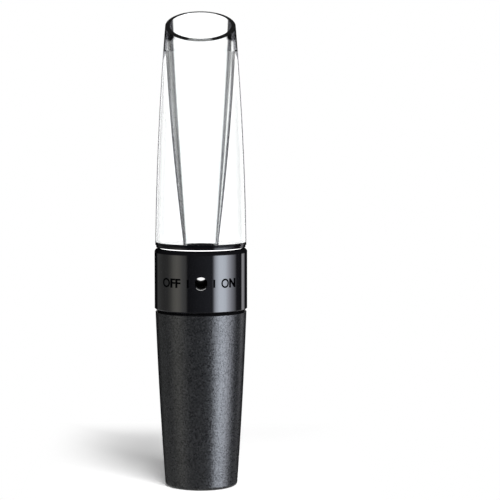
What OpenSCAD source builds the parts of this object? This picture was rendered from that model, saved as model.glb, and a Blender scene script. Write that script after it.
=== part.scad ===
// Wine aerator pourer. A tapered rubber stopper wedges into the mouth of a bottle. Its stem carries the wine
// up to a narrow throat, where two side ports draw in air, and a twist ring round the ports opens and closes
// them. Wine and air mix in a clear double-walled spout.
// The axis is +Z, from the bottle to the mouth. The front air hole and the low side of the mouth face -Y.

/* [Stopper] */
// Length of the tapered rubber stopper
stopper_h = 42; // [36:0.5:50]
// Diameter of the stopper's small end
stopper_tip_d = 17.4; // [16.8:0.1:18.4]
// How far the stopper's large end lies inside the ring's side
stopper_inset = 0.2; // [0:0.05:0.5]
// How far the stopper's side bows out of a straight taper
stopper_bow = 0.18; // [0:0.02:0.3]
// Rounding of the small end's rim
stopper_tip_round = 0.8; // [0.3:0.1:1.2]
// Thickness of the rubber lip that covers the end of the stem
stopper_lip_t = 1.2; // [0.8:0.1:2]

/* [Venturi body] */
// Outer diameter of the stem
stem_d = 13; // [12.4:0.1:13.6]
// Diameter of the wine channel in the stem
wine_bore_d = 8.4; // [7.8:0.1:9]
// Diameter of the throat that the air ports open into
throat_d = 4.8; // [4:0.1:5]
// Length over which the channel narrows to the throat
inlet_cone_h = 4; // [3:0.1:5]
// Height of the air ports above the start of the throat
throat_lead = 0.35; // [0.2:0.05:0.6]
// Number of barbs that grip the rubber
barb_count = 3; // [1:1:4]
// How far a barb stands out of the stem
barb_h = 0.5; // [0.3:0.1:0.8]
// Length of a barb's ramp
barb_l = 2.4; // [1.5:0.1:4]
// Distance from one barb to the next
barb_pitch = 9; // [7:0.5:9.5]
// How far the flange under the ring lies inside the stopper's large end
body_flange_inset = 0.5; // [0.2:0.05:0.8]
// Thickness of that flange
body_flange_t = 0.45; // [0.4:0.05:1]
// Depth of the socket for the collar's hub
socket_h = 5.4; // [4.6:0.1:5.8]

/* [Vent tube] */
// Outer diameter of the air return tube
vent_tube_d = 1.6; // [1.3:0.1:1.6]
// Wall of the air return tube
vent_tube_wall = 0.25; // [0.2:0.05:0.35]

/* [Control ring] */
// Outer diameter of the twist ring
ring_d = 22.2; // [21.6:0.1:26]
// Height of the twist ring
ring_h = 14.7; // [13.6:0.05:18]
// Wall of the twist ring, whose bore runs on the body's journal
ring_wall = 2.4; // [2:0.1:2.8]
// Rounding of the ring's top edge
ring_top_round = 0.95; // [0.4:0.05:1.2]
// Chamfer of the ring's bottom edge
ring_foot_chamfer = 0.4; // [0.2:0.05:0.6]
// Diameter of the air holes and ports
air_hole_d = 3; // [2:0.1:3.2]
// Height of the air holes above the ring's foot
air_hole_rise = 7.2; // [6.8:0.1:7.6]
// Chamfer round the mouth of an air hole
air_hole_chamfer = 0.12; // [0.06:0.02:0.2]
// Turn of the ring from ON to OFF, in degrees
off_turn = 36; // [25:1:60]

/* [Stop] */
// Angle that the body's stop lug spans, in degrees
lug_angle = 24; // [12:1:40]
// How far the lug stands out of the journal
lug_out = 1; // [0.6:0.1:1.3]
// Height of the lug
lug_h = 1.6; // [1:0.1:1.9]
// Free angle left at each end of the turn, in degrees
stop_slack = 0.5; // [0.2:0.1:1]

/* [Seals] */
// Section of the O-rings that run in the twist ring
ring_seal_cord_d = 1; // [0.8:0.05:1.2]
// How much wider their grooves are than the O-rings
seal_float = 0.4; // [0.2:0.05:0.6]
// Distance of those O-rings from the ring's ends
ring_seal_inset = 3.1; // [2.8:0.1:3.4]
// Section of the O-ring under the collar's hub
nozzle_seal_cord_d = 0.9; // [0.7:0.05:1.1]
// Thickness of the flat washer under the funnel
spout_seal_t = 0.55; // [0.4:0.05:0.8]
// Outer diameter of the flat washer
spout_seal_d = 8.6; // [8.4:0.1:9.4]

/* [Nozzle collar] */
// How far the collar's flange lies inside the spout's foot
collar_inset = 0.2; // [0:0.05:0.5]
// Thickness of the collar's flange
collar_t = 0.75; // [0.5:0.05:1]
// Height of the neck that spaces the flange from the ring
collar_neck_h = 0.18; // [0.1:0.02:0.3]
// How far that neck lies inside the flange's side
collar_undercut = 0.95; // [0.4:0.05:1.2]
// Height of the lip that centres the spout
collar_lip_h = 0.15; // [0.1:0.05:0.4]
// Depth of the funnel's foot below the top of that lip
funnel_seat_h = 0.25; // [0.15:0.05:0.3]
// Wall of the body round the collar's hub
socket_wall = 3.15; // [2.8:0.05:3.4]
// Diameter of the outlet at the top of the collar
outlet_d = 5.9; // [5.4:0.1:6.2]
// Width of the key that sets the spout's direction
key_w = 1.6; // [1.2:0.1:2.4]
// How far the key stands out of the hub
key_out = 0.75; // [0.5:0.05:1]

/* [Spout] */
// Height of the mouth's centre above the spout's foot
spout_h = 52; // [40:0.5:64]
// How far the spout's foot lies inside the ring's side
spout_inset = 0.2; // [0:0.05:0.5]
// Outer diameter of the spout at the mouth's centre
spout_mouth_d = 16.7; // [15.8:0.1:18]
// How far the spout's side bows out of a straight taper
spout_bow = 0.45; // [0:0.05:0.8]
// Slant of the mouth, in degrees
mouth_slant = 24; // [0:1:30]
// Wall of the outer shell
shell_wall = 0.55; // [0.5:0.05:0.65]
// Bore of the funnel at its foot
funnel_foot_d = 7.5; // [7:0.1:7.8]
// Wall of shell and funnel together at the mouth's centre
lip_wall = 1.05; // [0.9:0.05:1.4]
// Least wall of shell and funnel together, towards the mouth's high side
rim_wall = 0.8; // [0.75:0.05:0.9]
// How far the funnel's bore bows out of a straight taper
funnel_bow = 0.1; // [0:0.05:0.2]
// Wall of the funnel at its foot
funnel_foot_wall = 0.4; // [0.35:0.05:0.45]
// Wall that the funnel thickens towards at the mouth, where the shell's bore trims it
funnel_mouth_wall = 1.3; // [1.1:0.05:1.6]
// How much further the funnel's outside bows out than its bore
funnel_wall_bow = 0.4; // [0:0.05:0.5]

/* [Fits] */
// Radial clearance of the ring on its journal
running_gap = 0.05; // [0.02:0.01:0.1]
// Clearance at each end of the ring
end_gap = 0.1; // [0.05:0.01:0.2]
// Gap of pressed and bonded joints
bond_gap = 0.05; // [0.02:0.01:0.08]
// Clearance of an O-ring in its groove and at the ring
seal_gap = 0.02; // [0.01:0.01:0.03]
// Clearance over and round the stop lug
lug_gap = 0.15; // [0.1:0.01:0.2]

/* [Hidden] */
$fn = 96;
profile_steps = 12;
// Overall diameters that follow the ring's side
stopper_top_d = ring_d - 2 * stopper_inset;
body_flange_d = stopper_top_d - 2 * body_flange_inset;
spout_foot_d = ring_d - 2 * spout_inset;
collar_d = spout_foot_d - 2 * collar_inset;
funnel_mouth_d = spout_mouth_d - 2 * lip_wall;
// Overrun of a cutting solid past the face it cuts
cut = 1;

// Heights of the stack, from the stopper's small end upwards
stem_z = stopper_lip_t;
body_flange_z = stopper_h;
journal_z = body_flange_z + body_flange_t;
ring_z = journal_z + end_gap;
ring_top_z = ring_z + ring_h;
collar_z = ring_top_z + end_gap;
spout_z = collar_z + collar_t;
collar_top_z = spout_z + collar_lip_h;
mouth_z = spout_z + spout_h;
air_z = ring_z + air_hole_rise;
lower_seal_z = ring_z + ring_seal_inset;
upper_seal_z = ring_top_z - ring_seal_inset;

// The journal and its two seal grooves
ring_bore_d = ring_d - 2 * ring_wall;
journal_d = ring_bore_d - 2 * running_gap;
ring_seal_r = ring_bore_d / 2 - seal_gap - ring_seal_cord_d / 2;
groove_floor_r = ring_seal_r - ring_seal_cord_d / 2 - seal_gap;
groove_w = ring_seal_cord_d + seal_float;

// The wine channel: the cone ends in the throat just under the air ports
throat_z = air_z - air_hole_d / 2 - throat_lead;
inlet_cone_z = throat_z - inlet_cone_h;
socket_z = collar_z - socket_h;
socket_d = journal_d - 2 * socket_wall;
hub_d = socket_d - 2 * bond_gap;
hub_z = socket_z + nozzle_seal_cord_d + seal_gap;
nozzle_seal_r = hub_d / 2 - nozzle_seal_cord_d / 2 - bond_gap;

// The vent tube lies against the wall of the wine channel, under the back air port
vent_hole_d = vent_tube_d + 2 * seal_gap;
vent_y = wine_bore_d / 2 - vent_hole_d / 2 - bond_gap;
vent_top_z = throat_z;

// The washer's seat round the collar's spigot and the foot of the funnel on the washer
spout_seal_top_z = collar_top_z - funnel_seat_h;
spout_seal_z = spout_seal_top_z - spout_seal_t;
spout_seal_seat_d = spout_seal_d + 2 * bond_gap;
spigot_d = funnel_foot_d - 2 * bond_gap;

// The profiles run past the mouth's highest point, and the slanted cut trims them
mouth_rise = spout_mouth_d / 2 * tan(mouth_slant) + cut;
profile_h = spout_h + mouth_rise;

// Share of the spout's height at height z above its foot
function share(z) = z / spout_h;
// A taper from one diameter to another that bows out by bow at half height
function bowed_r(z, foot_d, mouth_d, bow) =
    (foot_d + (mouth_d - foot_d) * share(z)) / 2 + 4 * bow * share(z) * (1 - share(z));
function shell_r(z) = bowed_r(z, spout_foot_d, spout_mouth_d, spout_bow);
function shell_bore_r(z) = shell_r(z) - shell_wall;
function funnel_bore_r(z) =
    min(bowed_r(z, funnel_foot_d, funnel_mouth_d, funnel_bow), shell_r(z) - rim_wall);
// The funnel's wall thickens upwards until it meets the shell, to which it is bonded
function funnel_r(z) =
    min(bowed_r(z, funnel_foot_d + 2 * funnel_foot_wall, funnel_mouth_d + 2 * funnel_mouth_wall,
                funnel_bow + funnel_wall_bow),
        shell_bore_r(z) - bond_gap);
function heights(low) = [for (i = [0 : profile_steps]) low + (profile_h - low) * i / profile_steps];

// Revolves the wall between an outer and an inner row of radii, and trims it along the slanted mouth
module mouth_cut_wall(outer, inner) {
    difference() {
        translate([0, 0, spout_z])
            rotate_extrude()
                polygon(concat(outer, [for (i = [len(inner) - 1 : -1 : 0]) inner[i]]));
        translate([0, 0, mouth_z])
            rotate([mouth_slant, 0, 0])
                translate([-spout_foot_d, -spout_foot_d, 0])
                    cube([2 * spout_foot_d, 2 * spout_foot_d, spout_h]);
    }
}

// Outline of the barbed stem, drawn wider by gap for the hole that it sits in
module stem_outline(gap) {
    r = stem_d / 2 + gap;
    first_barb_z = stem_z + barb_pitch;
    barbs = [for (i = [0 : barb_count - 1], p = [[0, 0], [barb_h, barb_l], [0, barb_l]])
        [r + p[0], first_barb_z + i * barb_pitch + p[1]]];
    polygon(concat([[0, stem_z], [r, stem_z]], barbs, [[r, journal_z], [0, journal_z]]));
}

// A cylinder through both air ports or both air holes
module air_cross(d, length) {
    translate([0, 0, air_z])
        rotate([90, 0, 0])
            cylinder(d = d, h = length, center = true);
}

// A torus round the axis
module o_ring(r, z, cord_d) {
    rotate_extrude()
        translate([r, z])
            circle(d = cord_d);
}

// A sector of a ring that starts at an angle measured from +X
module sector(from_angle, angle, inner_r, outer_r, z, h) {
    rotate([0, 0, from_angle])
        rotate_extrude(angle = angle)
            translate([inner_r, z])
                square([outer_r - inner_r, h]);
}

// Tapered rubber sleeve with a rounded small end, moulded to the barbed stem
module stopper() {
    tip_r = stopper_tip_d / 2;
    e = stopper_tip_round;
    side = [for (i = [0 : profile_steps], s = [i / profile_steps])
        [tip_r + (stopper_top_d / 2 - tip_r) * s + 4 * stopper_bow * s * (1 - s), e + (stopper_h - e) * s]];
    color("#3b3c3f")
        difference() {
            rotate_extrude()
                union() {
                    polygon(concat([[0, 0], [tip_r - e, 0], [tip_r - e, e]], side, [[0, stopper_h]]));
                    translate([tip_r - e, e])
                        circle(r = e);
                }
            translate([0, 0, -cut])
                cylinder(d = wine_bore_d, h = stopper_lip_t + 2 * cut);
            rotate_extrude()
                stem_outline(bond_gap);
        }
}

// Hard core: stem, flange and journal in one, with the wine channel, the air ports and the stop lug
module venturi_body() {
    color("#1d1d20")
        difference() {
            union() {
                rotate_extrude()
                    stem_outline(0);
                translate([0, 0, body_flange_z])
                    cylinder(d = body_flange_d, h = body_flange_t);
                translate([0, 0, body_flange_z])
                    cylinder(d = journal_d, h = collar_z - body_flange_z);
                sector(90 - lug_angle / 2, lug_angle, groove_floor_r, journal_d / 2 + lug_out, journal_z, lug_h);
            }
            rotate_extrude()
                polygon([[0, stem_z - cut], [wine_bore_d / 2, stem_z - cut], [wine_bore_d / 2, inlet_cone_z],
                         [throat_d / 2, throat_z], [throat_d / 2, socket_z], [socket_d / 2, socket_z],
                         [socket_d / 2, collar_z + cut], [0, collar_z + cut]]);
            for (z = [lower_seal_z, upper_seal_z])
                sector(0, 360, groove_floor_r, journal_d, z - groove_w / 2, groove_w);
            air_cross(air_hole_d, ring_d);
            translate([0, vent_y, stem_z])
                cylinder(d = vent_hole_d, h = vent_top_z - stem_z);
            translate([0, vent_y, stem_z])
                cylinder(d = vent_tube_d - 2 * vent_tube_wall, h = air_z - stem_z);
            hub_key(bond_gap);
        }
}

// Thin tube that leads air from the back port down into the bottle
module vent_tube() {
    color("#c9cacc")
        translate([0, vent_y, stem_z])
            difference() {
                cylinder(d = vent_tube_d, h = vent_top_z - stem_z);
                translate([0, 0, -cut])
                    cylinder(d = vent_tube_d - 2 * vent_tube_wall, h = vent_top_z - stem_z + 2 * cut);
            }
}

module lower_ring_seal() {
    color("#2a2a2c")
        o_ring(ring_seal_r, lower_seal_z, ring_seal_cord_d);
}

module upper_ring_seal() {
    color("#2a2a2c")
        o_ring(ring_seal_r, upper_seal_z, ring_seal_cord_d);
}

// Twist ring with a rounded top edge, air holes front and back, and a groove for the stop lug
module control_ring() {
    bore_r = ring_bore_d / 2;
    outer_r = ring_d / 2;
    r = ring_top_round;
    c = ring_foot_chamfer;
    color("#101012")
        difference() {
            translate([0, 0, ring_z])
                rotate_extrude()
                    union() {
                        polygon([[bore_r, 0], [outer_r - c, 0], [outer_r, c], [outer_r, ring_h - r],
                                 [outer_r - r, ring_h - r], [outer_r - r, ring_h], [bore_r, ring_h]]);
                        translate([outer_r - r, ring_h - r])
                            circle(r = r);
                    }
            air_cross(air_hole_d, 2 * ring_d);
            for (side = [0, 180])
                rotate([0, 0, side])
                    translate([0, -outer_r + air_hole_chamfer, air_z])
                        rotate([90, 0, 0])
                            cylinder(d1 = air_hole_d, d2 = air_hole_d + 2 * cut, h = cut);
            sector(90 - lug_angle / 2 - off_turn - stop_slack, lug_angle + off_turn + 2 * stop_slack,
                   bore_r - cut, journal_d / 2 + lug_out + lug_gap, ring_z - cut,
                   journal_z + lug_h + lug_gap - ring_z + cut);
        }
}

module nozzle_seal() {
    color("#2a2a2c")
        o_ring(nozzle_seal_r, socket_z + nozzle_seal_cord_d / 2 + seal_gap / 2, nozzle_seal_cord_d);
}

// Key on the hub, drawn larger by gap for its slot in the body
module hub_key(gap) {
    translate([hub_d / 2 - key_out, -key_w / 2 - gap, hub_z - gap])
        cube([2 * key_out + gap, key_w + 2 * gap, collar_z - hub_z + 2 * gap]);
}

// Flange that traps the ring and carries the spout, with a hub that opens out from the throat to the outlet and
// ends in a spigot for the funnel
module nozzle_collar() {
    flange_r = collar_d / 2;
    neck_r = flange_r - collar_undercut;
    color("#101012")
        difference() {
            union() {
                translate([0, 0, collar_z])
                    rotate_extrude()
                        polygon([[0, 0], [neck_r, 0], [neck_r, collar_neck_h], [flange_r, collar_neck_h],
                                 [flange_r, collar_t], [0, collar_t]]);
                translate([0, 0, spout_z])
                    cylinder(r = shell_bore_r(collar_lip_h) - bond_gap, h = collar_lip_h);
                translate([0, 0, hub_z])
                    cylinder(d = hub_d, h = collar_z - hub_z);
                hub_key(0);
            }
            rotate_extrude()
                polygon([[0, hub_z - cut], [throat_d / 2, hub_z - cut], [throat_d / 2, hub_z],
                         [outlet_d / 2, collar_top_z], [outlet_d / 2, collar_top_z + cut], [0, collar_top_z + cut]]);
            sector(0, 360, spigot_d / 2, spout_seal_seat_d / 2, spout_seal_z, collar_top_z - spout_seal_z + cut);
        }
}

// Flat washer that seals the funnel's foot to the collar
module spout_seal() {
    color("#2a2a2c")
        translate([0, 0, spout_seal_z])
            difference() {
                cylinder(d = spout_seal_d, h = spout_seal_t);
                translate([0, 0, -cut])
                    cylinder(d = funnel_foot_d, h = spout_seal_t + 2 * cut);
            }
}

// Clear funnel that the wine and the air mix in
module diffuser_funnel() {
    zs = heights(spout_seal_top_z - spout_z);
    color("#dfe6ea", 0.4)
        mouth_cut_wall([for (z = zs) [funnel_r(z), z]], [for (z = zs) [funnel_bore_r(z), z]]);
}

// Clear outer shell of the spout
module spout_shell() {
    zs = heights(0);
    color("#dfe6ea", 0.4)
        mouth_cut_wall([for (z = zs) [shell_r(z), z]], [for (z = zs) [shell_bore_r(z), z]]);
}

stopper();
venturi_body();
vent_tube();
lower_ring_seal();
upper_ring_seal();
control_ring();
nozzle_seal();
nozzle_collar();
spout_seal();
diffuser_funnel();
spout_shell();
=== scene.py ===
# %% [markdown]
# # Wine aerator pourer
# A pourer for a wine bottle: a charcoal rubber stopper, a gloss black twist ring that opens and shuts two
# air holes, and a clear spout with a funnel inside. The pieces come from the imported CAD model and keep their
# shape. This lesson dresses them: it models the clear spout as one bonded piece, adds a gasket, letters the
# ring, gives every piece the finish of its real material, paints shade on the spout's edges and a glow on the
# gasket, and sets up the studio and the camera.

# %% Load the frame
import math

import bmesh
import bpy
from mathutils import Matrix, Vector


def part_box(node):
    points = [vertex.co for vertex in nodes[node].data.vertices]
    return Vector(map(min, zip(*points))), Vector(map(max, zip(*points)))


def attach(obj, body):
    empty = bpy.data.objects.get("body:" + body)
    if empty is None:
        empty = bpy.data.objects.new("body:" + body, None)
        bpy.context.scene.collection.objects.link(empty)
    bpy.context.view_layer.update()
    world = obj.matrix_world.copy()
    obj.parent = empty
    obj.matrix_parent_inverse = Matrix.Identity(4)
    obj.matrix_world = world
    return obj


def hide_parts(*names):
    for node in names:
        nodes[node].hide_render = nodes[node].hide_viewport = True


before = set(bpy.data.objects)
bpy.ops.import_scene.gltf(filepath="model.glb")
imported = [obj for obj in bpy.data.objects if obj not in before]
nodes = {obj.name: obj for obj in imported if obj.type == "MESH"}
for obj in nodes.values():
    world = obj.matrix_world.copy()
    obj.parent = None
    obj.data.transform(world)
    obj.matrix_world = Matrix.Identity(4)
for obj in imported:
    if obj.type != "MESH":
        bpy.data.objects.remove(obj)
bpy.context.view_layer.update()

MM = 0.001
print("CAD nodes:", ", ".join(sorted(nodes)))

# %% [markdown]
# ## Camera
# The product is photographed from a little above its middle with a long lens, so its sides stay almost
# parallel while the slanted mouth still shows as an open ellipse. A long focal length at half a metre gives
# that, and turning the camera slightly to the right leaves the pourer in the left half of the picture.

# %% Camera
camera_place = Vector((0, -0.5, 0.1009))
camera_target = Vector((0.01174, 0, 0.0567))
sensor_mm = 36
lens_mm = 151.1
camera = bpy.data.objects.new("camera", bpy.data.cameras.new("camera"))
bpy.context.scene.collection.objects.link(camera)
camera.data.sensor_width = sensor_mm
camera.data.lens = lens_mm
camera.location = camera_place
camera.rotation_euler = (camera_target - camera_place).to_track_quat("-Z", "Y").to_euler()
bpy.context.scene.camera = camera
print("camera tilt", round(math.degrees(camera.rotation_euler.x) - 90, 2), "degrees")

# %% [markdown]
# ## Helpers for materials
# Colours are given in sRGB, as on any screen, but a shader works in linear light, so one function
# turns a hex value into linear numbers. A second one adds a node to a node tree, sets what it is given and
# links its inputs, which keeps each finish readable as a short list of nodes.

# %% Colour and node helpers
WHITE = (1, 1, 1, 1)


def linear(hex_colour):
    """Linear RGBA of an sRGB colour written as #rrggbb."""
    parts = [int(hex_colour[i:i + 2], 16) / 255 for i in (1, 3, 5)]
    return [p / 12.92 if p <= 0.04045 else ((p + 0.055) / 1.055) ** 2.4 for p in parts] + [1.0]


def add_node(tree, kind, inputs=None, **settings):
    """Adds a node: inputs maps a socket's name or number to a value, or to the output that feeds it."""
    node = tree.nodes.new(kind)
    for key, value in settings.items():
        setattr(node, key, value)
    for key, value in (inputs or {}).items():
        if isinstance(value, bpy.types.NodeSocket):
            tree.links.new(value, node.inputs[key])
        else:
            node.inputs[key].default_value = value
    return node


def new_finish(name):
    """An empty material with its node tree and its Principled shader."""
    material = bpy.data.materials.new(name)
    material.use_nodes = True
    tree = material.node_tree
    return material, tree, tree.nodes["Principled BSDF"]


def set_sockets(shader, **values):
    """Sets a shader's own sockets; an underscore in a name stands for a space."""
    for key, value in values.items():
        shader.inputs[key.replace("_", " ")].default_value = value


print("helpers ready; mid grey #808080 is", round(linear("#808080")[0], 3), "in linear light")

# %% [markdown]
# ## Finishes of the black plastics
# The twist ring and the collar are ABS from a polished mould: almost black, with a mirror-like skin that
# shows the studio as crisp stripes. A trace of waviness in the ring's skin, as every moulding has, comes from
# a very weak, broad bump. The rounding at the ring's top lies in the shade of the collar, so its shine fades
# out there. The collar is matt in its outlet and on a tongue-shaped patch in front of it, because a mirror
# there would throw bright specks into the clear spout. The core inside is the same plastic with a satin,
# spark-eroded skin.

# %% Gloss and satin black ABS
abs_ior = 1.52
abs_black = "#0b0b0d"
matt_r = 3.8 * MM
gloss_r = 4.4 * MM
tongue_shift = (0, 2.4 * MM, 0)
tongue_shape = (1.25, 0.4, 0)
ring_top_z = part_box("control_ring")[1].z
shine_end_z = ring_top_z - 0.7 * MM
shine_fade = 0.15 * MM


def noise_bump(tree, grain_mm, distance_mm, strength, detail=2.0):
    """A bump whose bumps are grain_mm apart and distance_mm high."""
    place = add_node(tree, "ShaderNodeTexCoord")
    grain = add_node(tree, "ShaderNodeTexNoise",
                     {"Vector": place.outputs["Object"], "Scale": 1 / (grain_mm * MM), "Detail": detail})
    return add_node(tree, "ShaderNodeBump",
                    {"Strength": strength, "Distance": distance_mm * MM, "Height": grain.outputs["Fac"]})


def gloss_black_abs():
    """Almost black with a sharp mirror, which shows the studio as crisp stripes."""
    material, tree, shader = new_finish("gloss_black_abs_polished")
    set_sockets(shader, Base_Color=linear(abs_black), Roughness=0.05, IOR=abs_ior)
    skin = noise_bump(tree, grain_mm=6, distance_mm=0.01, strength=0.2)
    tree.links.new(skin.outputs["Normal"], shader.inputs["Normal"])
    place = add_node(tree, "ShaderNodeTexCoord")
    along = add_node(tree, "ShaderNodeSeparateXYZ", {0: place.outputs["Object"]})
    shine = add_node(tree, "ShaderNodeMapRange",
                     {"Value": along.outputs["Z"], "From Min": shine_end_z - shine_fade,
                      "From Max": shine_end_z, "To Min": 0.5, "To Max": 0.0})
    tree.links.new(shine.outputs["Result"], shader.inputs["Specular IOR Level"])
    return material


def collar_black_abs():
    """Gloss outside, matt in and in front of the outlet, so that the outlet reads as a black hole."""
    material, tree, shader = new_finish("gloss_black_abs_moulded")
    set_sockets(shader, Base_Color=linear(abs_black), IOR=abs_ior)
    place = add_node(tree, "ShaderNodeTexCoord")
    flat = add_node(tree, "ShaderNodeVectorMath", {0: place.outputs["Object"], 1: (1, 1, 0)},
                    operation="MULTIPLY")
    radius = add_node(tree, "ShaderNodeVectorMath", {0: flat.outputs["Vector"]}, operation="LENGTH")
    long = add_node(tree, "ShaderNodeMapping",
                    {"Vector": place.outputs["Object"], "Location": tongue_shift, "Scale": tongue_shape})
    tongue = add_node(tree, "ShaderNodeVectorMath", {0: long.outputs["Vector"]}, operation="LENGTH")
    reach = add_node(tree, "ShaderNodeMath", {0: radius.outputs["Value"], 1: tongue.outputs["Value"]},
                     operation="MINIMUM")
    shine = add_node(tree, "ShaderNodeMapRange",
                     {"Value": reach.outputs[0], "From Min": matt_r, "From Max": gloss_r, "To Max": 0.17})
    rough = add_node(tree, "ShaderNodeMapRange",
                     {"Value": reach.outputs[0], "From Min": matt_r, "From Max": gloss_r,
                      "To Min": 0.8, "To Max": 0.08})
    tree.links.new(shine.outputs["Result"], shader.inputs["Specular IOR Level"])
    tree.links.new(rough.outputs["Result"], shader.inputs["Roughness"])
    return material


def satin_black_abs():
    """Dull and dark, so that the core stays in the background where a gap shows it."""
    material, tree, shader = new_finish("satin_black_abs_moulded")
    set_sockets(shader, Base_Color=linear("#050506"), Roughness=0.6, IOR=abs_ior, Specular_IOR_Level=0.03)
    skin = noise_bump(tree, grain_mm=0.3, distance_mm=0.01, strength=0.3)
    tree.links.new(skin.outputs["Normal"], shader.inputs["Normal"])
    return material


gloss_abs = gloss_black_abs()
collar_abs = collar_black_abs()
satin_abs = satin_black_abs()
print("made", gloss_abs.name, collar_abs.name, "and", satin_abs.name)

# %% [markdown]
# ## Finish of the stopper
# The stopper is a soft thermoplastic rubber whose mould was spark-eroded, which leaves a fine, even grain
# that breaks up the sheen. Real grain of about a tenth of a millimetre would vanish at this picture size, so
# it is drawn about four times coarser. One noise makes all of it: it raises the skin a little, and it varies
# the colour, the roughness and the strength of the shine, so the bright stripe down the side looks speckled.

# %% Charcoal rubber
rubber_grain = 0.42 * MM
rubber_grain_h = 0.05 * MM


def charcoal_rubber():
    """Charcoal with a soft, speckled sheen instead of a mirror."""
    material, tree, shader = new_finish("charcoal_rubber_grained")
    set_sockets(shader, IOR=1.5)
    place = add_node(tree, "ShaderNodeTexCoord")
    grain = add_node(tree, "ShaderNodeTexNoise",
                     {"Vector": place.outputs["Object"], "Scale": 1 / rubber_grain, "Detail": 1.0,
                      "Roughness": 0.5})
    tint = add_node(tree, "ShaderNodeValToRGB", {"Fac": grain.outputs["Fac"]})
    tint.color_ramp.elements[0].position = 0.35
    tint.color_ramp.elements[0].color = linear("#0f1012")
    tint.color_ramp.elements[1].position = 0.65
    tint.color_ramp.elements[1].color = linear("#1a1b1d")
    gloss = add_node(tree, "ShaderNodeMapRange",
                     {"Value": grain.outputs["Fac"], "To Min": 0.22, "To Max": 0.36})
    shine = add_node(tree, "ShaderNodeMapRange",
                     {"Value": grain.outputs["Fac"], "From Min": 0.3, "From Max": 0.7,
                      "To Min": 0.3, "To Max": 0.8})
    bump = add_node(tree, "ShaderNodeBump",
                    {"Strength": 0.6, "Distance": rubber_grain_h, "Height": grain.outputs["Fac"]})
    tree.links.new(shine.outputs["Result"], shader.inputs["Specular IOR Level"])
    tree.links.new(tint.outputs["Color"], shader.inputs["Base Color"])
    tree.links.new(gloss.outputs["Result"], shader.inputs["Roughness"])
    tree.links.new(bump.outputs["Normal"], shader.inputs["Normal"])
    return material


rubber = charcoal_rubber()
print("made", rubber.name)

# %% [markdown]
# ## Finishes of the small inside pieces
# The seals are smooth black nitrile rubber. The vent tube is drawn stainless steel, whose fine lines run
# along the tube, so its noise is squeezed across the tube and stretched along it.

# %% Seal rubber and drawn steel
line_w = 0.1 * MM
line_length = 8 * MM


def seal_rubber():
    """Dull dark grey, a little lighter than the plastics round it."""
    material, tree, shader = new_finish("nitrile_rubber_smooth")
    set_sockets(shader, Base_Color=linear("#222223"), Roughness=0.5, IOR=1.5)
    skin = noise_bump(tree, grain_mm=0.2, distance_mm=0.01, strength=0.3)
    tree.links.new(skin.outputs["Normal"], shader.inputs["Normal"])
    return material


def drawn_steel():
    """Bright grey metal whose highlights break up into lines along the tube."""
    material, tree, shader = new_finish("stainless_steel_drawn")
    set_sockets(shader, Base_Color=linear("#c9cacc"), Metallic=1.0)
    place = add_node(tree, "ShaderNodeTexCoord")
    along = add_node(tree, "ShaderNodeMapping",
                     {"Vector": place.outputs["Object"], "Scale": (1 / line_w, 1 / line_w, 1 / line_length)})
    lines = add_node(tree, "ShaderNodeTexNoise", {"Vector": along.outputs["Vector"], "Scale": 1.0})
    gloss = add_node(tree, "ShaderNodeMapRange",
                     {"Value": lines.outputs["Fac"], "To Min": 0.2, "To Max": 0.38})
    tree.links.new(gloss.outputs["Result"], shader.inputs["Roughness"])
    return material


nitrile = seal_rubber()
steel = drawn_steel()
print("made", nitrile.name, "and", steel.name)

# %% [markdown]
# ## Dress the CAD pieces
# The CAD pieces already have the right shape, so they only get a finish: each one's material slot is filled
# and the mesh stays as it is.

# %% Put the finishes on the CAD pieces
finish_of_node = {
    "stopper": rubber,
    "venturi_body": satin_abs,
    "vent_tube": steel,
    "lower_ring_seal": nitrile,
    "upper_ring_seal": nitrile,
    "nozzle_seal": nitrile,
    "spout_seal": nitrile,
    "control_ring": gloss_abs,
    "nozzle_collar": collar_abs,
}
for name, material in finish_of_node.items():
    nodes[name].data.materials.clear()
    nodes[name].data.materials.append(material)
print("dressed", len(finish_of_node), "CAD pieces")

# %% [markdown]
# ## Clear spout
# The spout is two acrylic mouldings, a thin outer shell and an inner funnel, bonded where they meet under
# the mouth, so light passes the bond as if it were one piece. Two meshes with a film of air between them
# would show a mirror there, so the spout is modelled as one closed skin. Half of its section is drawn as a
# chain of edges, from the outside of the mouth down, round the foot, up into the hollow between the walls,
# down the funnel and up its bore. Spin turns the chain round the axis, a slanted plane trims the mouth, and
# bridging the two open loops makes the rim, whose edges a small bevel rounds.

# %% Section of the spout
shell_low, shell_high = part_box("spout_shell")
funnel_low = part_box("diffuser_funnel")[0]
foot_z = shell_low.z
foot_r = shell_high.x
spout_h = 52 * MM
mouth_r = 8.35 * MM
shell_bow = 0.45 * MM
shell_wall = 0.55 * MM
rim_wall = 0.8 * MM
bore_foot_r = 3.75 * MM
bore_mouth_r = 7.3 * MM
bore_bow = 0.1 * MM
funnel_foot_r = 4.15 * MM
funnel_mouth_r = 8.6 * MM
funnel_bow = 0.5 * MM
mouth_slant = math.radians(24)
mouth_centre = Vector((0, 0, foot_z + spout_h))
slant_normal = Vector((0, -math.sin(mouth_slant), math.cos(mouth_slant)))
bond_top_z = foot_z + 0.65 * MM


def bowed_radius(z, radius_at_foot, radius_at_mouth, bow):
    """Radius at height z of a taper that bows out by bow half way up."""
    share = (z - foot_z) / spout_h
    return radius_at_foot + (radius_at_mouth - radius_at_foot) * share + 4 * bow * share * (1 - share)


def shell_radius(z):
    return bowed_radius(z, foot_r, mouth_r, shell_bow)


def shell_bore_radius(z):
    return shell_radius(z) - shell_wall


def funnel_radius(z):
    return bowed_radius(z, funnel_foot_r, funnel_mouth_r, funnel_bow)


def funnel_bore_radius(z):
    return min(bowed_radius(z, bore_foot_r, bore_mouth_r, bore_bow), shell_radius(z) - rim_wall)


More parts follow.
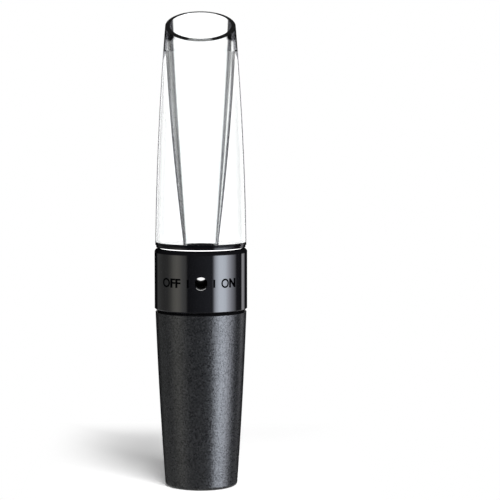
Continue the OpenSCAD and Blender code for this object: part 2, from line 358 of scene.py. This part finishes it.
def meeting_height():
    """Height at which the funnel's outside reaches the shell's bore, found by halving."""
    low, high = foot_z, mouth_centre.z
    for _ in range(40):
        middle = (low + high) / 2
        if funnel_radius(middle) < shell_bore_radius(middle):
            low = middle
        else:
            high = middle
    return low


meeting_z = meeting_height()
print("the walls meet", round(meeting_z / MM, 2), "mm up")

# %% Clear spout: spin, trim and bridge
section_rows = 24
lip_rows = 6
spin_steps = 192
below_mouth_z = mouth_centre.z - mouth_r * math.tan(mouth_slant) - 1 * MM
above_mouth_z = mouth_centre.z + mouth_r * math.tan(mouth_slant) + 2 * MM
rim_round = 0.06 * MM
sharp_angle = math.radians(30)


def rows_between(low, high, rows=section_rows):
    return [low + (high - low) * i / rows for i in range(rows + 1)]


def spout_section():
    """The chain of (radius, height) from the outside of the mouth to the inside of it."""
    lip = rows_between(below_mouth_z, above_mouth_z, lip_rows)[1:]
    outside = lip[::-1] + rows_between(foot_z, below_mouth_z)[::-1]
    hollow = [foot_z] + rows_between(bond_top_z, meeting_z)[:-1]
    funnel = rows_between(funnel_low.z, meeting_z)[::-1]
    bore = rows_between(funnel_low.z, below_mouth_z) + lip
    chain = [(shell_radius(z), z) for z in outside]
    chain += [(shell_bore_radius(z), z) for z in hollow]
    chain += [(funnel_radius(z), z) for z in funnel]
    chain += [(funnel_bore_radius(z), z) for z in bore]
    return chain


def finish_mesh(bm, name, material, merge_mm=0.001):
    """Merges doubles, turns the faces outwards and makes a smooth object of the mesh."""
    bmesh.ops.remove_doubles(bm, verts=bm.verts, dist=merge_mm * MM)
    bmesh.ops.recalc_face_normals(bm, faces=bm.faces)
    mesh = bpy.data.meshes.new(name)
    for face in bm.faces:
        face.smooth = True
    bm.to_mesh(mesh)
    bm.free()
    mesh.materials.append(material)
    piece = bpy.data.objects.new(name, mesh)
    bpy.context.scene.collection.objects.link(piece)
    return piece


def spout_mesh():
    bm = bmesh.new()
    row = [bm.verts.new((r, 0, z)) for r, z in spout_section()]
    chain = [bm.edges.new(pair) for pair in zip(row, row[1:])]
    bmesh.ops.spin(bm, geom=row + chain, cent=(0, 0, 0), axis=(0, 0, 1), angle=2 * math.pi,
                   steps=spin_steps, use_merge=True)
    bmesh.ops.bisect_plane(bm, geom=bm.verts[:] + bm.edges[:] + bm.faces[:], dist=1e-7,
                           plane_co=mouth_centre, plane_no=slant_normal, clear_outer=True)
    open_edges = [e for e in bm.edges if e.is_boundary]
    bmesh.ops.bridge_loops(bm, edges=open_edges)
    bmesh.ops.bevel(bm, geom=open_edges, offset=rim_round, offset_type="OFFSET", segments=4, profile=0.5,
                    affect="EDGES", material=-1, clamp_overlap=True)
    return bm


print("half the section of the spout is a chain of", len(spout_section()), "points")

# %% [markdown]
# ## Finishes of the spout, with painted edge shade
# Clear acrylic, polished: an index of 1.49 and a skin smooth enough to be a mirror at a glancing angle. Light
# that meets the skin at a glancing angle travels a long way inside the wall and loses itself, so the edges
# of a clear wall look dark, and here that dark is painted shade in the colour. Layer Weight's Facing value
# is 0 where the eye looks straight at the skin and 1 where it only grazes it, and a range of it mixes a
# painted dark colour into the clear one. The thin shell gets a painted hairline and the thick funnel a broader
# painted band. Both are painted darker towards the mouth, where the walls join into one thick wall, so the
# dark colour and its range change with the height. The polished rim sends the eye down into the wall, and
# its painted shade is darkest.

# %% Clear acrylic
acrylic_ior = 1.49
clear = "#fdfefe"
lip_z = mouth_centre.z - 3.6 * MM
under_lip_z = lip_z - 0.2 * MM
over_lip_z = lip_z + 0.2 * MM
funnel_pale_z = meeting_z - 12 * MM
funnel_dark_z = meeting_z - 3 * MM
shell_pale_z = meeting_z - 2 * MM
shell_dark_z = meeting_z + 0.5 * MM


def clear_acrylic(name, stops, mirror=True):
    """Clear acrylic with painted edge shade: stops of (height, shade colour, Facing at start, Facing at end).

    Without mirror the outside only lets light in, so that no reflection washes out the painted dark edge.
    """
    material, tree, shader = new_finish(name)
    set_sockets(shader, Roughness=0.0, IOR=acrylic_ior, Transmission_Weight=1.0)
    place = add_node(tree, "ShaderNodeTexCoord")
    along = add_node(tree, "ShaderNodeSeparateXYZ", {0: place.outputs["Object"]})
    share = add_node(tree, "ShaderNodeMapRange",
                     {"Value": along.outputs["Z"], "From Min": foot_z, "From Max": above_mouth_z})
    edge_shade_ramp = add_node(tree, "ShaderNodeValToRGB", {"Fac": share.outputs["Result"]})
    facing_ramp = add_node(tree, "ShaderNodeValToRGB", {"Fac": share.outputs["Result"]})
    for i, (z, colour, start, end) in enumerate(stops):
        position = (z - foot_z) / (above_mouth_z - foot_z)
        for ramp, value in ((edge_shade_ramp, linear(colour)), (facing_ramp, (start, end, 0, 1))):
            elements = ramp.color_ramp.elements
            element = elements[i] if i < 2 else elements.new(position)
            element.position = position
            element.color = value
    limits = add_node(tree, "ShaderNodeSeparateColor", {0: facing_ramp.outputs["Color"]})
    weight = add_node(tree, "ShaderNodeLayerWeight", {"Blend": 0.5})
    # painted shade: a Facing range mixes a dark colour into the clear one where the eye grazes the skin
    painted_edge_shade = add_node(tree, "ShaderNodeMapRange",
                    {"Value": weight.outputs["Facing"], "From Min": limits.outputs[0],
                     "From Max": limits.outputs[1]})
    tint = add_node(tree, "ShaderNodeMix",
                    {0: painted_edge_shade.outputs["Result"], 6: linear(clear), 7: edge_shade_ramp.outputs["Color"]},
                    data_type="RGBA")
    tree.links.new(tint.outputs[2], shader.inputs["Base Color"])
    if not mirror:
        inward = add_node(tree, "ShaderNodeBsdfRefraction",
                          {"Color": tint.outputs[2], "Roughness": 0.0, "IOR": acrylic_ior})
        side = add_node(tree, "ShaderNodeNewGeometry")
        mixed = add_node(tree, "ShaderNodeMixShader",
                         {0: side.outputs["Backfacing"], 1: inward.outputs[0], 2: shader.outputs[0]})
        tree.links.new(mixed.outputs[0], tree.nodes["Material Output"].inputs["Surface"])
    return material


def bonded_acrylic():
    """Clear from the hollow side, black from inside the wall, where it shows the adhesive and the collar."""
    material, tree, shader = new_finish("clear_acrylic_bonded")
    set_sockets(shader, Base_Color=linear(clear), Roughness=0.0, IOR=acrylic_ior, Transmission_Weight=1.0)
    black = add_node(tree, "ShaderNodeBsdfDiffuse", {"Color": linear("#08080a")})
    place = add_node(tree, "ShaderNodeNewGeometry")
    mixed = add_node(tree, "ShaderNodeMixShader",
                     {0: place.outputs["Backfacing"], 1: shader.outputs[0], 2: black.outputs[0]})
    tree.links.new(mixed.outputs[0], tree.nodes["Material Output"].inputs["Surface"])
    return material


SHELL, HOLLOW, FUNNEL, BORE, RIM, BONDED = range(6)
# the dark colours in these stops are painted edge shade, darker towards the mouth and darkest on the rim
spout_finishes_and_edge_shade = [
    clear_acrylic("clear_acrylic_shell_painted_edges", [
        (foot_z, "#64656a", 0.72, 0.84),
        (shell_pale_z, "#64656a", 0.72, 0.84),
        (shell_dark_z, "#48484c", 0.44, 0.58),
        (under_lip_z, "#48484c", 0.44, 0.58),
        (over_lip_z, "#0a0a0c", 0.26, 0.36)]),
    clear_acrylic("clear_acrylic_hollow", [
        (foot_z, clear, 0.0, 1.0),
        (meeting_z, clear, 0.0, 1.0)]),
    clear_acrylic("clear_acrylic_funnel_painted_edges", [
        (foot_z, "#5c5c60", 0.50, 0.66),
        (funnel_pale_z, "#5c5c60", 0.50, 0.66),
        (funnel_dark_z, "#242428", 0.49, 0.64)], mirror=False),
    clear_acrylic("clear_acrylic_bore_painted_edges", [
        (foot_z, "#303034", 0.54, 0.66),
        (funnel_pale_z, "#303034", 0.54, 0.66),
        (funnel_dark_z, "#1c1c20", 0.53, 0.65),
        (under_lip_z, "#1c1c20", 0.53, 0.65),
        (over_lip_z, "#0a0a0c", 0.46, 0.56)]),
    clear_acrylic("clear_acrylic_rim_painted_dark", [
        (foot_z, "#0c0c0e", 0.40, 0.62),
        (lip_z, "#0c0c0e", 0.40, 0.62)]),
    bonded_acrylic(),
]
print("made", len(spout_finishes_and_edge_shade), "acrylic finishes")

# %% [markdown]
# ## Put the acrylic on the spout
# Each face of the spout gets the finish of the skin that it lies on, which its place gives away. Near the
# slanted plane it belongs to the rim, and in the foot between the walls to the bond. Any other face belongs
# to the skin whose radius at that height is nearest.

# %% Clear spout
spout = finish_mesh(spout_mesh(), "clear_spout", spout_finishes_and_edge_shade[0])
spout.data.set_sharp_from_angle(angle=sharp_angle)
for material in spout_finishes_and_edge_shade[1:]:
    spout.data.materials.append(material)
radius_of_skin = {
    SHELL: shell_radius,
    HOLLOW: shell_bore_radius,
    FUNNEL: funnel_radius,
    BORE: funnel_bore_radius,
}
rim_depth = 1.2 * rim_round
rim_facing = 0.5
for face in spout.data.polygons:
    radius = face.center.xy.length
    z = face.center.z
    depth = (mouth_centre - face.center).dot(slant_normal)
    if depth < rim_depth and face.normal.dot(slant_normal) > rim_facing:
        face.material_index = RIM
    elif z < bond_top_z and funnel_mouth_r < radius < shell_radius(z) - shell_wall / 4:
        face.material_index = BONDED
    else:
        face.material_index = min(radius_of_skin, key=lambda skin: abs(radius_of_skin[skin](z) - radius))
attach(spout, "body")
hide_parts("spout_shell", "diffuser_funnel")
spout.visible_shadow = False
print("spout:", len(spout.data.polygons), "faces")

# %% [markdown]
# ## Gasket
# A thin pale silicone gasket fills the groove between the collar's flange and the ring, and shows as a
# bright hairline. It is a plain ring: a square of edges, spun round the axis. It stays clear of the ring,
# which turns under it. The narrow groove would leave it in the dark, so it is given a painted glow: an
# emission of its own that stands in for light, though the gasket is no lamp.

# %% Silicone gasket
neck_r = 9.75 * MM
flange_under_z = foot_z - 0.57 * MM
gasket_w = 0.09 * MM
gasket_gap = 0.01 * MM
turning_gap = 0.02 * MM


def pale_silicone_painted_glow():
    """Nearly white and dull, with a painted glow that keeps it an even bright hairline."""
    material, tree, shader = new_finish("silicone_pale_painted_glow")
    # painted glow: the emission makes the gasket shine though it is no lamp
    set_sockets(shader, Base_Color=linear("#f2f2f2"), Roughness=0.5, IOR=1.41, Emission_Color=WHITE,
                Emission_Strength=1.8)
    skin = noise_bump(tree, grain_mm=0.3, distance_mm=0.005, strength=0.2)
    tree.links.new(skin.outputs["Normal"], shader.inputs["Normal"])
    return material


def gasket_mesh(inner_r, outer_r, low_z, high_z):
    bm = bmesh.new()
    corners = [(inner_r, low_z), (outer_r, low_z), (outer_r, high_z), (inner_r, high_z)]
    row = [bm.verts.new((r, 0, z)) for r, z in corners]
    square = [bm.edges.new((row[i], row[(i + 1) % 4])) for i in range(4)]
    bmesh.ops.spin(bm, geom=row + square, cent=(0, 0, 0), axis=(0, 0, 1), angle=2 * math.pi,
                   steps=spin_steps, use_merge=True)
    return bm


gasket_r = neck_r + gasket_gap
gasket = finish_mesh(gasket_mesh(gasket_r, gasket_r + gasket_w, ring_top_z + turning_gap,
                                 flange_under_z - gasket_gap), "gasket", pale_silicone_painted_glow())
gasket.data.set_sharp_from_angle(angle=sharp_angle)
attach(gasket, "body")
print("gasket:", len(gasket.data.polygons), "faces")

# %% [markdown]
# ## Marks on the ring
# The ring carries the words OFF and ON and two short bars beside the air hole, printed in dull black ink, so
# that they only show against the bright reflections. A word is a text object made a mesh. It is sliced into
# narrow strips, bent round the axis, and given a little depth, so that it sits in the skin of the ring and
# stands out of it by the thickness of the ink.

# %% Words and bars of the ring
ring_low, ring_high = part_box("control_ring")
ring_r = ring_high.x
mark_proud = 0.012 * MM
mark_depth = 0.12 * MM
mark_h = 2.2 * MM
bar_h = 1.9 * MM
mark_z = ring_low.z + 7.15 * MM
strip_w = 0.1 * MM
stroke_growth = 0.02


def flat_word(word, width):
    """The word as a flat bmesh, centred, width wide and mark_h high."""
    curve = bpy.data.curves.new(word, "FONT")
    curve.body = word
    curve.offset = stroke_growth
    text = bpy.data.objects.new(word, curve)
    mesh = bpy.data.meshes.new_from_object(text)
    bm = bmesh.new()
    bm.from_mesh(mesh)
    bpy.data.objects.remove(text)
    bpy.data.curves.remove(curve)
    bpy.data.meshes.remove(mesh)
    xs = [v.co.x for v in bm.verts]
    ys = [v.co.y for v in bm.verts]
    middle = Vector(((min(xs) + max(xs)) / 2, (min(ys) + max(ys)) / 2, 0))
    bmesh.ops.translate(bm, verts=bm.verts, vec=-middle)
    bmesh.ops.scale(bm, verts=bm.verts,
                    vec=(width / (max(xs) - min(xs)), mark_h / (max(ys) - min(ys)), 1))
    return bm


def flat_bar(width):
    """An upright bar as a flat bmesh, a little lower than the words."""
    bm = bmesh.new()
    bmesh.ops.create_grid(bm, x_segments=1, y_segments=1, size=0.5)
    bmesh.ops.scale(bm, verts=bm.verts, vec=(width, bar_h, 1))
    return bm


def bend_on_ring(bm, width, angle):
    """Slices a flat mark, bends it round the axis at angle from the front and gives it depth."""
    strips = max(2, round(width / strip_w))
    for i in range(1, strips):
        bmesh.ops.bisect_plane(bm, geom=bm.verts[:] + bm.edges[:] + bm.faces[:], dist=1e-8,
                               plane_co=(width * (i / strips - 0.5), 0, 0), plane_no=(1, 0, 0))
    bmesh.ops.remove_doubles(bm, verts=bm.verts, dist=1e-7)
    top = ring_r + mark_proud
    for vert in bm.verts:
        turn = angle + vert.co.x / ring_r
        vert.co = Vector((top * math.sin(turn), -top * math.cos(turn), mark_z + vert.co.y))
    bmesh.ops.recalc_face_normals(bm, faces=bm.faces)
    outward = sum(f.normal.dot(Vector((f.calc_center_median().x, f.calc_center_median().y, 0)))
                  for f in bm.faces)
    if outward < 0:
        bmesh.ops.reverse_faces(bm, faces=bm.faces)
    bmesh.ops.solidify(bm, geom=bm.faces[:], thickness=mark_depth)
    return bm


print("the words are", round(mark_h / MM, 2), "mm high, the bars", round(bar_h / MM, 2), "mm")

# %% [markdown]
# ## Finish of the marks
# Dull black screen ink: dark, rough, without any shine, and slightly uneven where the ink dried. Each mark
# has its place as an angle from the front of the ring, and turns with the ring.

# %% Ink and the marks themselves
def mark_ink():
    """Black without shine, so that a letter shows as a gap in the reflection."""
    material, tree, shader = new_finish("screen_ink_dull_black")
    set_sockets(shader, Base_Color=linear("#020203"), Roughness=0.8, Specular_IOR_Level=0.0)
    skin = noise_bump(tree, grain_mm=0.15, distance_mm=0.01, strength=0.4)
    tree.links.new(skin.outputs["Normal"], shader.inputs["Normal"])
    return material


ink = mark_ink()
off_angle = math.radians(-39.8)
on_angle = math.radians(35.9)
bar_angle = math.radians(16.3)
off_width = 5.35 * MM
on_width = 4.0 * MM
bar_width = 0.45 * MM
marks = {
    "mark_off": bend_on_ring(flat_word("OFF", off_width), off_width, off_angle),
    "mark_on": bend_on_ring(flat_word("ON", on_width), on_width, on_angle),
    "mark_bar_left": bend_on_ring(flat_bar(bar_width), bar_width, -bar_angle),
    "mark_bar_right": bend_on_ring(flat_bar(bar_width), bar_width, bar_angle),
}
for name, bm in marks.items():
    mark = finish_mesh(bm, name, ink, merge_mm=0.0001)
    mark.data.set_sharp_from_angle(angle=sharp_angle)
    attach(mark, "ring")
print("made", len(marks), "marks on the ring")

# %% [markdown]
# ## Studio
# A glossy black piece is drawn by what it reflects, so the world acts as the studio: a broad bluish softbox
# to the right, a dim warm one to the left, darkness between, and a narrow white backdrop behind. A colour
# ramp over the compass direction paints these strips. The strips hang low: above them the studio is nearly
# dark up to a white softbox overhead, which edges the air hole with a bright crescent. It leans to the front,
# so the slanted rim doesn't mirror it. The strips' lower ends have a brightness of their own, and below them
# lies white paper. Rays that are mirrored after they entered the spout see a simpler field of light, which
# gives the walls their greys. The camera, and rays that pass straight through the spout, see plain white, and
# rays that light rough surfaces see an even grey.
#
# The strips are listed as degrees from the camera's side, positive to the right, with a colour and a level.

# %% Strips of the studio
strips = [
    (-180, "#ffffff", 1.8),
    (-178, "#ffffff", 1.8),
    (-174, "#20242a", 0.1),
    (-143, "#20242a", 0.1),
    (-132, "#b6b8b6", 0.52),
    (-103, "#b8b8b6", 0.55),
    (-91, "#b8b8b6", 0.74),
    (-81, "#bdbcb6", 1.3),
    (-72, "#bebdb5", 2.45),
    (-62, "#bfbdb5", 3.1),
    (-54, "#bfbdb6", 2.7),
    (-46, "#bebebc", 1.85),
    (-38, "#bebebc", 1.25),
    (-33, "#20242a", 0.3),
    (28, "#b0b8c8", 0.35),
    (31, "#b0b4be", 3.6),
    (33, "#b0b4be", 8.4),
    (38, "#bbc1cb", 13.4),
    (46, "#bbc1cb", 19.0),
    (55, "#bbc1cb", 19.0),
    (63, "#bbc1cb", 17.0),
    (72, "#b9bcc6", 11.6),
    (82, "#b9bcc6", 6.2),
    (92, "#a8aab2", 3.2),
    (99, "#9a9aa4", 0.2),
    (119, "#20242a", 0.05),
    (123, "#c6c5ca", 3.2),
    (129, "#c6c5ca", 3.2),
    (141, "#20242a", 0.1),
    (168, "#20242a", 0.1),
    (173, "#ffffff", 1.8),
    (180, "#ffffff", 1.8),
]


def white_stops(*levels):
    """Stops of plain white from pairs of (degrees, level)."""
    return [(degrees, "#ffffff", level) for degrees, level in levels]


field_stops = white_stops(
    (-180, 2.0), (-152, 1.6), (-147, 0.4), (-140, 0.4), (-134, 0.1), (-60, 0.25), (60, 0.25), (134, 0.1),
    (140, 1.6), (172, 1.6), (180, 2.0))
low_stops = white_stops(
    (-180, 0.3), (-170, 0.66), (20, 0.66), (30, 0.8), (40, 0.95), (55, 1.22), (75, 1.6), (92, 1.4),
    (112, 0.05), (175, 0.05), (180, 0.3))
print("the studio has", len(strips), "stops round the compass")

# %% [markdown]
# ## World
# The world's shader asks two things of a ray: which way it goes and what it has met. Its height is the third
# number of its direction, from -1 straight down to 1 straight up, and a Map Range between two heights blends
# one part of the studio into the next. The Light Path node tells whether the ray was mirrored or let through.

# %% World
brightest = 19.0
ambient_level = 0.28
paper_level = 0.5
overhead_level = 10.0
through_level = 1.35
roof_share = 0.05
upward_level = 2.0
roof_heights = (-0.085, -0.06)
low_heights = (-0.13, -0.2)
paper_heights = (-0.44, -0.21)
overhead_lean = (0, -0.26, 0.966)
overhead_heights = (0.58, 0.68)
upward_heights = (0.03, 0.06)


def compass_ramp(tree, share, stops, full=brightest):
    """A colour ramp over the compass, from stops of (degrees, colour, level); full is the level of white."""
    ramp = add_node(tree, "ShaderNodeValToRGB", {"Fac": share})
    elements = ramp.color_ramp.elements
    while len(elements) < len(stops):
        elements.new(0.5)
    for element, (degrees, colour, level) in zip(elements, stops):
        element.position = degrees / 360 + 0.5
        element.color = [c * level / full for c in linear(colour)[:3]] + [1.0]
    return ramp


def height_blend(tree, height, heights, low=0.0, high=1.0):
    """A value that goes from low to high between two heights of a ray."""
    blend = add_node(tree, "ShaderNodeMapRange",
                     {"Value": height, "From Min": heights[0], "From Max": heights[1],
                      "To Min": low, "To Max": high})
    return blend.outputs["Result"]


def background(tree, colour, strength):
    return add_node(tree, "ShaderNodeBackground", {"Color": colour, "Strength": strength}).outputs[0]


def studio_world():
    """Stripes for the mirrors, white for the camera and even grey for the rough skins."""
    world = bpy.data.worlds.new("studio")
    world.use_nodes = True
    tree = world.node_tree
    tree.nodes.clear()
    sky = add_node(tree, "ShaderNodeTexCoord")
    along = add_node(tree, "ShaderNodeSeparateXYZ", {0: sky.outputs["Generated"]})
    front = add_node(tree, "ShaderNodeMath", {0: along.outputs["Y"], 1: -1.0}, operation="MULTIPLY")
    compass = add_node(tree, "ShaderNodeMath", {0: along.outputs["X"], 1: front.outputs[0]},
                       operation="ARCTAN2")
    share = add_node(tree, "ShaderNodeMath", {0: compass.outputs[0], 1: 1 / (2 * math.pi), 2: 0.5},
                     operation="MULTIPLY_ADD")
    height = along.outputs["Z"]
    path = add_node(tree, "ShaderNodeLightPath")

    ramp = compass_ramp(tree, share.outputs[0], strips)
    low = compass_ramp(tree, share.outputs[0], low_stops, full=1.0)
    hung = add_node(tree, "ShaderNodeMix",
                    {0: height_blend(tree, height, low_heights), 6: ramp.outputs["Color"],
                     7: low.outputs["Color"]},
                    data_type="RGBA", blend_type="MULTIPLY")
    roof = height_blend(tree, height, roof_heights, brightest, roof_share * brightest)
    low_boxes = add_node(tree, "ShaderNodeMixShader",
                         {0: height_blend(tree, height, paper_heights),
                          1: background(tree, WHITE, paper_level),
                          2: background(tree, hung.outputs[2], roof)})
    lean = add_node(tree, "ShaderNodeVectorMath", {0: sky.outputs["Generated"], 1: overhead_lean},
                    operation="DOT_PRODUCT")
    softboxes = add_node(tree, "ShaderNodeMixShader",
                         {0: height_blend(tree, lean.outputs["Value"], overhead_heights),
                          1: low_boxes.outputs[0],
                          2: background(tree, WHITE, overhead_level)})

    field = compass_ramp(tree, share.outputs[0], field_stops)
    lifted = add_node(tree, "ShaderNodeMix",
                      {0: height_blend(tree, height, upward_heights), 6: field.outputs["Color"],
                       7: [upward_level / brightest] * 3 + [1.0]},
                      data_type="RGBA")
    inside = add_node(tree, "ShaderNodeMath", {0: path.outputs["Transmission Depth"], 1: 0.5},
                      operation="GREATER_THAN")
    reflected = add_node(tree, "ShaderNodeMixShader",
                         {0: inside.outputs[0], 1: softboxes.outputs[0],
                          2: background(tree, lifted.outputs[2], brightest)})

    through = add_node(tree, "ShaderNodeMapRange",
                       {"Value": path.outputs["Is Transmission Ray"], "To Min": 1.0, "To Max": through_level})
    seen = add_node(tree, "ShaderNodeMath",
                    {0: path.outputs["Is Camera Ray"], 1: path.outputs["Is Transmission Ray"]},
                    operation="MAXIMUM")
    plain = add_node(tree, "ShaderNodeMixShader",
                     {0: seen.outputs[0], 1: background(tree, WHITE, ambient_level),
                      2: background(tree, WHITE, through.outputs[0])})
    mirrored = add_node(tree, "ShaderNodeMath", {0: path.outputs["Glossy Depth"], 1: 0.5},
                        operation="GREATER_THAN")
    mixed = add_node(tree, "ShaderNodeMixShader",
                     {0: mirrored.outputs[0], 1: plain.outputs[0], 2: reflected.outputs[0]})
    add_node(tree, "ShaderNodeOutputWorld", {"Surface": mixed.outputs[0]})
    return world


bpy.context.scene.world = studio_world()
print("the world has", len(bpy.context.scene.world.node_tree.nodes), "nodes")

# %% [markdown]
# ## Key light
# One broad, soft lamp in front, to the right and above, gives the shadow that falls back and to the left. Its
# size makes the shadow's edge soft. Mirrors and clear pieces don't see it, so it adds no stripe of its own.

# %% Key lamp
key_place = Vector((0.21, -0.575, 0.42))
key_target = Vector((0, 0, 0.03))
key = bpy.data.objects.new("key_lamp", bpy.data.lights.new("key_lamp", "AREA"))
bpy.context.scene.collection.objects.link(key)
key.data.shape = "RECTANGLE"
key.data.size = 0.42
key.data.size_y = 0.3
key.data.energy = 8.4
key.location = key_place
key.rotation_euler = (key_target - key_place).to_track_quat("-Z", "Y").to_euler()
key.visible_glossy = False
key.visible_transmission = False
print("key lamp stands", round((key_target - key_place).length, 2), "m away")

# %% [markdown]
# ## Floor
# The floor is white paper: near the pourer it takes the shadow, and to the sides and further back it turns
# into the plain white of the backdrop, so that no horizon shows. Two fades over the distance do that, and
# the stronger one counts.

# %% Paper floor
floor_half = 1.5
floor_glow = 0.115
side_stretch = (1.6, 0.3, 1)
side_reach = (0.03, 0.07)
back_reach = (0.058, 0.09)


def soft_fade(tree, distance, reach):
    """A value that goes softly from 0 to 1 between the two distances of reach."""
    fade = add_node(tree, "ShaderNodeMapRange",
                    {"Value": distance, "From Min": reach[0], "From Max": reach[1]},
                    interpolation_type="SMOOTHSTEP")
    return fade.outputs["Result"]


def white_paper():
    """Even white that takes a soft shadow and loses itself in the backdrop."""
    material, tree, shader = new_finish("white_paper_matte")
    set_sockets(shader, Base_Color=linear("#f4f4f4"), Roughness=0.9, Specular_IOR_Level=0.0)
    glow = add_node(tree, "ShaderNodeEmission", {"Color": WHITE, "Strength": floor_glow})
    lit = add_node(tree, "ShaderNodeAddShader", {0: shader.outputs[0], 1: glow.outputs[0]})
    backdrop = add_node(tree, "ShaderNodeEmission", {"Color": WHITE, "Strength": 1.0})
    place = add_node(tree, "ShaderNodeTexCoord")
    spread = add_node(tree, "ShaderNodeVectorMath", {0: place.outputs["Object"], 1: side_stretch},
                      operation="MULTIPLY")
    distance = add_node(tree, "ShaderNodeVectorMath", {0: spread.outputs["Vector"]}, operation="LENGTH")
    along = add_node(tree, "ShaderNodeSeparateXYZ", {0: place.outputs["Object"]})
    fade = add_node(tree, "ShaderNodeMath",
                    {0: soft_fade(tree, distance.outputs["Value"], side_reach),
                     1: soft_fade(tree, along.outputs["Y"], back_reach)},
                    operation="MAXIMUM")
    mixed = add_node(tree, "ShaderNodeMixShader",
                     {0: fade.outputs[0], 1: lit.outputs[0], 2: backdrop.outputs[0]})
    tree.links.new(mixed.outputs[0], tree.nodes["Material Output"].inputs["Surface"])
    return material


def paper_floor():
    bm = bmesh.new()
    bmesh.ops.create_grid(bm, x_segments=1, y_segments=1, size=floor_half)
    floor = finish_mesh(bm, "floor", white_paper())
    floor.visible_glossy = False
    floor.visible_transmission = False
    return floor


paper_floor()
bpy.context.scene.view_settings.view_transform = "Standard"
print("the floor is", 2 * floor_half, "m wide")
